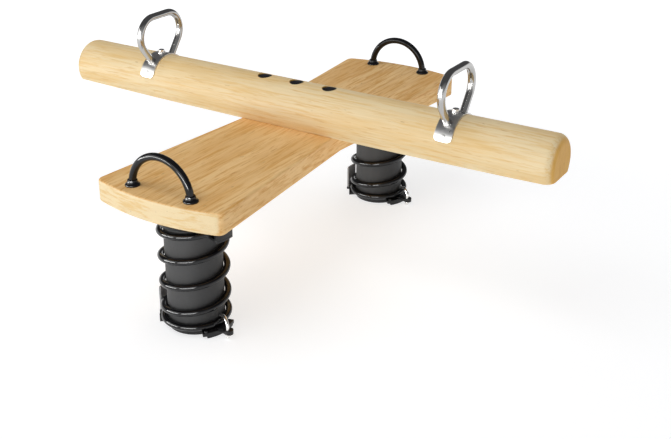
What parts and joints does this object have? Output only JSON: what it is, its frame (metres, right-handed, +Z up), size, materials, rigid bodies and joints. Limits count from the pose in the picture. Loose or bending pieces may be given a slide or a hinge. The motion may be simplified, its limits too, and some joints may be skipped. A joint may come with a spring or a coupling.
{
  "type": "playground spring seesaw",
  "caption": "Playground rocker seesaw: a wooden log beam crossed over a waisted seat board on two coil springs, with steel and hoop grab handles.",
  "frame": {"origin": "on the ground under the middle of the board, midway between the two springs", "axes": "+X along the log beam, +Y along the seat board, +Z up"},
  "size_m": [1.621, 1.313, 0.6785],
  "materials": {
    "pine": "clear-oiled pine, satin",
    "spring_steel": "black powder coat, semi-gloss",
    "core_rubber": "matt dark grey",
    "hoop_steel": "black powder coat, satin",
    "collar_plastic": "black moulded, satin",
    "plug_plastic": "black moulded, satin",
    "stainless": "polished stainless steel",
    "bright_bolts": "polished stainless steel",
    "zinc_bolts": "zinc plated",
    "black_bolts": "black oxide",
    "bracket_steel": "grey powder coat, satin",
    "black_castings": "black painted casting"
  },
  "bodies": {
    "root": {"base_plate_back": "black_castings", "base_plate_front": "black_castings", "base_shoes_back": "black_castings", "base_shoes_front": "black_castings", "bracket_bolt_back": "black_bolts", "bracket_bolt_front": "black_bolts", "hook_bolts_back": "bright_bolts", "hook_bolts_front": "bright_bolts", "hook_dome_nuts_back": "bright_bolts", "hook_dome_nuts_front": "bright_bolts", "hook_nuts_back": "bright_bolts", "hook_nuts_front": "bright_bolts", "shoe_bolts_back": "black_bolts", "shoe_bolts_front": "black_bolts", "tall_bracket_back": "bracket_steel", "tall_bracket_front": "bracket_steel"},
    "coils": {"spring_back": "spring_steel", "spring_front": "spring_steel"},
    "sleeves": {"core_sleeve_back": "core_rubber", "core_sleeve_front": "core_rubber"},
    "deck": {"handle_saddle_left": "stainless", "handle_saddle_right": "stainless", "hoop_collars_back": "collar_plastic", "hoop_collars_front": "collar_plastic", "hoop_handle_back": "hoop_steel", "hoop_handle_front": "hoop_steel", "hoop_nuts_back": "zinc_bolts", "hoop_nuts_front": "zinc_bolts", "hoop_washers_back": "zinc_bolts", "hoop_washers_front": "zinc_bolts", "log_beam": "pine", "log_bolt_nuts": "zinc_bolts", "log_bolt_plugs": "plug_plastic", "log_bolt_washers": "zinc_bolts", "log_bolts": "zinc_bolts", "saddle_bolts": "stainless", "saddle_tab_screws": "stainless", "saddle_washers": "stainless", "seat_board": "pine", "steel_handle_left": "stainless", "steel_handle_right": "stainless", "top_clamp_bolts_back": "black_bolts", "top_clamp_bolts_front": "black_bolts", "top_clamps_back": "black_castings", "top_clamps_front": "black_castings", "top_plate_back": "black_castings", "top_plate_front": "black_castings", "top_plate_screws_back": "zinc_bolts", "top_plate_screws_front": "zinc_bolts", "top_spacers_back": "black_castings", "top_spacers_front": "black_castings"}
  },
  "joints": [
    {"name": "bounce", "type": "slide", "parent": "root", "child": "coils", "axis": [0, 0, 1], "range_m": [-0.025, 0.008], "stiffness_N_per_m": 86000, "springref_m": 0.006, "deforming": ["spring_front", "spring_back", "core_sleeve_front", "core_sleeve_back"]},
    {"name": "side_rock", "type": "hinge", "parent": "coils", "child": "sleeves", "pos_m": [0, 0, 0.18], "axis": [0, 1, 0], "range_deg": [-12, 12], "stiffness_Nm_per_rad": 734},
    {"name": "end_rock", "type": "hinge", "parent": "sleeves", "child": "deck", "pos_m": [0, 0, 0.29], "axis": [1, 0, 0], "range_deg": [-2.5, 2.5], "stiffness_Nm_per_rad": 21000}
  ]
}
